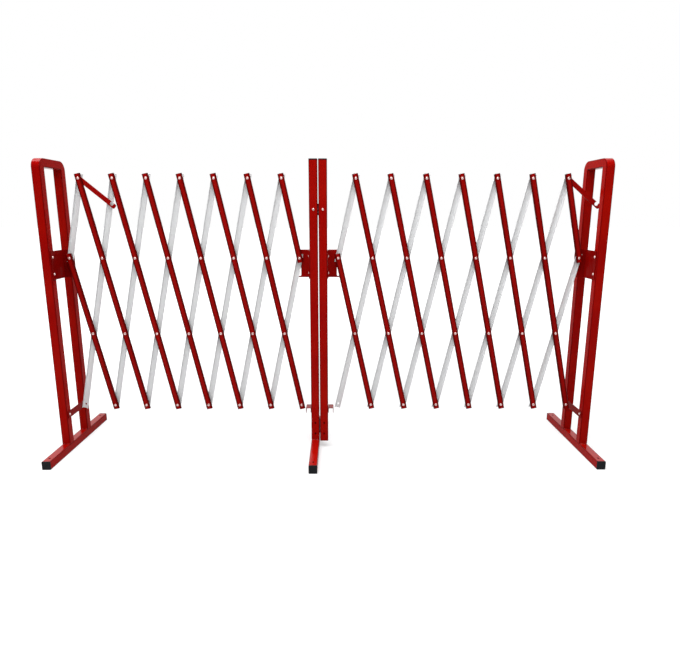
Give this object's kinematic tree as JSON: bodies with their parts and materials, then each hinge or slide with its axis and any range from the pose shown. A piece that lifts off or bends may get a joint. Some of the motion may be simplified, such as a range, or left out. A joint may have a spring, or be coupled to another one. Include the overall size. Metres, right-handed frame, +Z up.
{
  "type": "expanding trellis barrier",
  "caption": "Expanding barrier: two riveted scissor lattices of red and white steel slats between a middle post stand and upturned-U end stands on feet, with locking hooks.",
  "frame": {"origin": "on the floor, below the middle of the whole barrier", "axes": "+X along the barrier to the right, +Y away from the viewer, +Z up"},
  "size_m": [1.9512, 0.5006, 1.0503],
  "materials": {
    "red_paint": "gloss",
    "white_paint": "gloss",
    "black_plastic": "satin",
    "zinc": "satin"
  },
  "bodies": {
    "middle_stand": {"left_post": "red_paint", "right_post": "red_paint", "left_post_cap": "black_plastic", "right_post_cap": "black_plastic", "left_post_bracket": "red_paint", "right_post_bracket": "red_paint", "left_stop_tab": "red_paint", "right_stop_tab": "red_paint", "middle_foot": "red_paint", "middle_foot_cap_front": "black_plastic", "middle_foot_cap_rear": "black_plastic", "upper_joining_plate": "zinc", "lower_joining_plate": "zinc"},
    "left_end_stand": {"left_stand_frame": "red_paint", "left_foot": "red_paint", "left_foot_cap_front": "black_plastic", "left_foot_cap_rear": "black_plastic", "left_end_bracket": "red_paint", "left_tie_strap": "red_paint"},
    "left_red_slat_1_body": {"left_red_slat_1": "red_paint"},
    "left_white_slat_1_body": {"left_white_slat_1": "white_paint"},
    "left_red_slat_2_body": {"left_red_slat_2": "red_paint"},
    "left_white_slat_2_body": {"left_white_slat_2": "white_paint"},
    "left_red_slat_3_body": {"left_red_slat_3": "red_paint"},
    "left_white_slat_3_body": {"left_white_slat_3": "white_paint"},
    "left_red_slat_4_body": {"left_red_slat_4": "red_paint"},
    "left_white_slat_4_body": {"left_white_slat_4": "white_paint"},
    "left_red_slat_5_body": {"left_red_slat_5": "red_paint"},
    "left_white_slat_5_body": {"left_white_slat_5": "white_paint"},
    "left_red_slat_6_body": {"left_red_slat_6": "red_paint"},
    "left_white_slat_6_body": {"left_white_slat_6": "white_paint"},
    "left_red_slat_7_body": {"left_red_slat_7": "red_paint"},
    "left_white_slat_7_body": {"left_white_slat_7": "white_paint"},
    "left_red_slat_8_body": {"left_red_slat_8": "red_paint"},
    "left_white_slat_8_body": {"left_white_slat_8": "white_paint"},
    "left_hook_body": {"left_hook": "red_paint"},
    "right_end_stand": {"right_stand_frame": "red_paint", "right_foot": "red_paint", "right_foot_cap_front": "black_plastic", "right_foot_cap_rear": "black_plastic", "right_end_bracket": "red_paint", "right_tie_strap": "red_paint"},
    "right_red_slat_1_body": {"right_red_slat_1": "red_paint"},
    "right_white_slat_1_body": {"right_white_slat_1": "white_paint"},
    "right_red_slat_2_body": {"right_red_slat_2": "red_paint"},
    "right_white_slat_2_body": {"right_white_slat_2": "white_paint"},
    "right_red_slat_3_body": {"right_red_slat_3": "red_paint"},
    "right_white_slat_3_body": {"right_white_slat_3": "white_paint"},
    "right_red_slat_4_body": {"right_red_slat_4": "red_paint"},
    "right_white_slat_4_body": {"right_white_slat_4": "white_paint"},
    "right_red_slat_5_body": {"right_red_slat_5": "red_paint"},
    "right_white_slat_5_body": {"right_white_slat_5": "white_paint"},
    "right_red_slat_6_body": {"right_red_slat_6": "red_paint"},
    "right_white_slat_6_body": {"right_white_slat_6": "white_paint"},
    "right_red_slat_7_body": {"right_red_slat_7": "red_paint"},
    "right_white_slat_7_body": {"right_white_slat_7": "white_paint"},
    "right_red_slat_8_body": {"right_red_slat_8": "red_paint"},
    "right_white_slat_8_body": {"right_white_slat_8": "white_paint"},
    "right_hook_body": {"right_hook": "red_paint"}
  },
  "joints": [
    {"name": "left_lattice_main", "type": "hinge", "parent": "middle_stand", "child": "left_red_slat_8_body", "pos_m": [-0.08984, 0.015, 0.71], "axis": [0, -1, 0], "range_deg": [-9.4, 48]},
    {"name": "left_white_7_pivot", "type": "hinge", "parent": "left_red_slat_8_body", "child": "left_white_slat_7_body", "pos_m": [-0.14889, 0.015, 0.98779], "axis": [0, 1, 0], "range_deg": [-18.8, 96]},
    {"name": "left_red_5_pivot", "type": "hinge", "parent": "left_white_slat_7_body", "child": "left_red_slat_5_body", "pos_m": [-0.32603, 0.015, 0.15441], "axis": [0, -1, 0], "range_deg": [-18.8, 96]},
    {"name": "left_white_4_pivot", "type": "hinge", "parent": "left_red_slat_5_body", "child": "left_white_slat_4_body", "pos_m": [-0.50317, 0.015, 0.98779], "axis": [0, 1, 0], "range_deg": [-18.8, 96]},
    {"name": "left_red_2_pivot", "type": "hinge", "parent": "left_white_slat_4_body", "child": "left_red_slat_2_body", "pos_m": [-0.68031, 0.015, 0.15441], "axis": [0, -1, 0], "range_deg": [-18.8, 96]},
    {"name": "left_white_1_pivot", "type": "hinge", "parent": "left_red_slat_2_body", "child": "left_white_slat_1_body", "pos_m": [-0.85745, 0.015, 0.98779], "axis": [0, 1, 0], "range_deg": [-18.8, 96]},
    {"name": "left_end_stand_pivot", "type": "hinge", "parent": "left_white_slat_1_body", "child": "left_end_stand", "pos_m": [-0.9165, 0.015, 0.71], "axis": [0, -1, 0], "range_deg": [-9.4, 48]},
    {"name": "left_white_8_pivot", "type": "hinge", "parent": "middle_stand", "child": "left_white_slat_8_body", "pos_m": [-0.08984, 0.015, 0.71], "axis": [0, 1, 0], "range_deg": [-9.4, 48]},
    {"name": "left_red_7_pivot", "type": "hinge", "parent": "left_white_slat_7_body", "child": "left_red_slat_7_body", "pos_m": [-0.20793, 0.015, 0.71], "axis": [0, -1, 0], "range_deg": [-18.8, 96]},
    {"name": "left_red_6_pivot", "type": "hinge", "parent": "left_white_slat_7_body", "child": "left_red_slat_6_body", "pos_m": [-0.26698, 0.015, 0.43221], "axis": [0, -1, 0], "range_deg": [-18.8, 96]},
    {"name": "left_white_6_pivot", "type": "hinge", "parent": "left_red_slat_5_body", "child": "left_white_slat_6_body", "pos_m": [-0.38508, 0.015, 0.43221], "axis": [0, 1, 0], "range_deg": [-18.8, 96]},
    {"name": "left_white_5_pivot", "type": "hinge", "parent": "left_red_slat_5_body", "child": "left_white_slat_5_body", "pos_m": [-0.44412, 0.015, 0.71], "axis": [0, 1, 0], "range_deg": [-18.8, 96]},
    {"name": "left_red_4_pivot", "type": "hinge", "parent": "left_white_slat_4_body", "child": "left_red_slat_4_body", "pos_m": [-0.56222, 0.015, 0.71], "axis": [0, -1, 0], "range_deg": [-18.8, 96]},
    {"name": "left_red_3_pivot", "type": "hinge", "parent": "left_white_slat_4_body", "child": "left_red_slat_3_body", "pos_m": [-0.62126, 0.015, 0.43221], "axis": [0, -1, 0], "range_deg": [-18.8, 96]},
    {"name": "left_white_3_pivot", "type": "hinge", "parent": "left_red_slat_2_body", "child": "left_white_slat_3_body", "pos_m": [-0.73936, 0.015, 0.43221], "axis": [0, 1, 0], "range_deg": [-18.8, 96]},
    {"name": "left_white_2_pivot", "type": "hinge", "parent": "left_red_slat_2_body", "child": "left_white_slat_2_body", "pos_m": [-0.7984, 0.015, 0.71], "axis": [0, 1, 0], "range_deg": [-18.8, 96]},
    {"name": "left_red_1_pivot", "type": "hinge", "parent": "left_end_stand", "child": "left_red_slat_1_body", "pos_m": [-0.9165, 0.015, 0.71], "axis": [0, -1, 0], "range_deg": [-9.4, 48]},
    {"name": "right_lattice_main", "type": "hinge", "parent": "middle_stand", "child": "right_white_slat_1_body", "pos_m": [0.04916, 0.015, 0.71], "axis": [0, 1, 0], "range_deg": [-10, 47.4]},
    {"name": "right_red_2_pivot", "type": "hinge", "parent": "right_white_slat_1_body", "child": "right_red_slat_2_body", "pos_m": [0.11111, 0.015, 0.98716], "axis": [0, -1, 0], "range_deg": [-20, 94.8]},
    {"name": "right_white_4_pivot", "type": "hinge", "parent": "right_red_slat_2_body", "child": "right_white_slat_4_body", "pos_m": [0.29697, 0.015, 0.15568], "axis": [0, 1, 0], "range_deg": [-20, 94.8]},
    {"name": "right_red_5_pivot", "type": "hinge", "parent": "right_white_slat_4_body", "child": "right_red_slat_5_body", "pos_m": [0.48283, 0.015, 0.98716], "axis": [0, -1, 0], "range_deg": [-20, 94.8]},
    {"name": "right_white_7_pivot", "type": "hinge", "parent": "right_red_slat_5_body", "child": "right_white_slat_7_body", "pos_m": [0.66869, 0.015, 0.15568], "axis": [0, 1, 0], "range_deg": [-20, 94.8]},
    {"name": "right_red_8_pivot", "type": "hinge", "parent": "right_white_slat_7_body", "child": "right_red_slat_8_body", "pos_m": [0.85454, 0.015, 0.98716], "axis": [0, -1, 0], "range_deg": [-20, 94.8]},
    {"name": "right_end_stand_pivot", "type": "hinge", "parent": "right_red_slat_8_body", "child": "right_end_stand", "pos_m": [0.9165, 0.015, 0.71], "axis": [0, 1, 0], "range_deg": [-10, 47.4]},
    {"name": "right_red_1_pivot", "type": "hinge", "parent": "middle_stand", "child": "right_red_slat_1_body", "pos_m": [0.04916, 0.015, 0.71], "axis": [0, -1, 0], "range_deg": [-10, 47.4]},
    {"name": "right_white_2_pivot", "type": "hinge", "parent": "right_red_slat_2_body", "child": "right_white_slat_2_body", "pos_m": [0.17306, 0.015, 0.71], "axis": [0, 1, 0], "range_deg": [-20, 94.8]},
    {"name": "right_white_3_pivot", "type": "hinge", "parent": "right_red_slat_2_body", "child": "right_white_slat_3_body", "pos_m": [0.23502, 0.015, 0.43284], "axis": [0, 1, 0], "range_deg": [-20, 94.8]},
    {"name": "right_red_3_pivot", "type": "hinge", "parent": "right_white_slat_4_body", "child": "right_red_slat_3_body", "pos_m": [0.35892, 0.015, 0.43284], "axis": [0, -1, 0], "range_deg": [-20, 94.8]},
    {"name": "right_red_4_pivot", "type": "hinge", "parent": "right_white_slat_4_body", "child": "right_red_slat_4_body", "pos_m": [0.42088, 0.015, 0.71], "axis": [0, -1, 0], "range_deg": [-20, 94.8]},
    {"name": "right_white_5_pivot", "type": "hinge", "parent": "right_red_slat_5_body", "child": "right_white_slat_5_body", "pos_m": [0.54478, 0.015, 0.71], "axis": [0, 1, 0], "range_deg": [-20, 94.8]},
    {"name": "right_white_6_pivot", "type": "hinge", "parent": "right_red_slat_5_body", "child": "right_white_slat_6_body", "pos_m": [0.60673, 0.015, 0.43284], "axis": [0, 1, 0], "range_deg": [-20, 94.8]},
    {"name": "right_red_6_pivot", "type": "hinge", "parent": "right_white_slat_7_body", "child": "right_red_slat_6_body", "pos_m": [0.73064, 0.015, 0.43284], "axis": [0, -1, 0], "range_deg": [-20, 94.8]},
    {"name": "right_red_7_pivot", "type": "hinge", "parent": "right_white_slat_7_body", "child": "right_red_slat_7_body", "pos_m": [0.79259, 0.015, 0.71], "axis": [0, -1, 0], "range_deg": [-20, 94.8]},
    {"name": "right_white_8_pivot", "type": "hinge", "parent": "right_end_stand", "child": "right_white_slat_8_body", "pos_m": [0.9165, 0.015, 0.71], "axis": [0, 1, 0], "range_deg": [-10, 47.4]},
    {"name": "left_hook_pivot", "type": "hinge", "parent": "left_red_slat_2_body", "child": "left_hook_body", "pos_m": [-0.85745, 0.015, 0.98779], "axis": [0, -1, 0], "range_deg": [-130, 14]},
    {"name": "right_hook_pivot", "type": "hinge", "parent": "right_red_slat_8_body", "child": "right_hook_body", "pos_m": [0.85454, 0.015, 0.98716], "axis": [0, -1, 0], "range_deg": [-95, 36]}
  ],
  "couplings": [
    {"joint": "left_white_7_pivot", "follows": "left_lattice_main", "ratio": 2},
    {"joint": "left_red_5_pivot", "follows": "left_lattice_main", "ratio": 2},
    {"joint": "left_white_4_pivot", "follows": "left_lattice_main", "ratio": 2},
    {"joint": "left_red_2_pivot", "follows": "left_lattice_main", "ratio": 2},
    {"joint": "left_white_1_pivot", "follows": "left_lattice_main", "ratio": 2},
    {"joint": "left_end_stand_pivot", "follows": "left_lattice_main", "ratio": 1},
    {"joint": "left_white_8_pivot", "follows": "left_lattice_main", "ratio": 1},
    {"joint": "left_red_7_pivot", "follows": "left_lattice_main", "ratio": 2},
    {"joint": "left_red_6_pivot", "follows": "left_lattice_main", "ratio": 2},
    {"joint": "left_white_6_pivot", "follows": "left_lattice_main", "ratio": 2},
    {"joint": "left_white_5_pivot", "follows": "left_lattice_main", "ratio": 2},
    {"joint": "left_red_4_pivot", "follows": "left_lattice_main", "ratio": 2},
    {"joint": "left_red_3_pivot", "follows": "left_lattice_main", "ratio": 2},
    {"joint": "left_white_3_pivot", "follows": "left_lattice_main", "ratio": 2},
    {"joint": "left_white_2_pivot", "follows": "left_lattice_main", "ratio": 2},
    {"joint": "left_red_1_pivot", "follows": "left_lattice_main", "ratio": 1},
    {"joint": "right_red_2_pivot", "follows": "right_lattice_main", "ratio": 2},
    {"joint": "right_white_4_pivot", "follows": "right_lattice_main", "ratio": 2},
    {"joint": "right_red_5_pivot", "follows": "right_lattice_main", "ratio": 2},
    {"joint": "right_white_7_pivot", "follows": "right_lattice_main", "ratio": 2},
    {"joint": "right_red_8_pivot", "follows": "right_lattice_main", "ratio": 2},
    {"joint": "right_end_stand_pivot", "follows": "right_lattice_main", "ratio": 1},
    {"joint": "right_red_1_pivot", "follows": "right_lattice_main", "ratio": 1},
    {"joint": "right_white_2_pivot", "follows": "right_lattice_main", "ratio": 2},
    {"joint": "right_white_3_pivot", "follows": "right_lattice_main", "ratio": 2},
    {"joint": "right_red_3_pivot", "follows": "right_lattice_main", "ratio": 2},
    {"joint": "right_red_4_pivot", "follows": "right_lattice_main", "ratio": 2},
    {"joint": "right_white_5_pivot", "follows": "right_lattice_main", "ratio": 2},
    {"joint": "right_white_6_pivot", "follows": "right_lattice_main", "ratio": 2},
    {"joint": "right_red_6_pivot", "follows": "right_lattice_main", "ratio": 2},
    {"joint": "right_red_7_pivot", "follows": "right_lattice_main", "ratio": 2},
    {"joint": "right_white_8_pivot", "follows": "right_lattice_main", "ratio": 1}
  ]
}
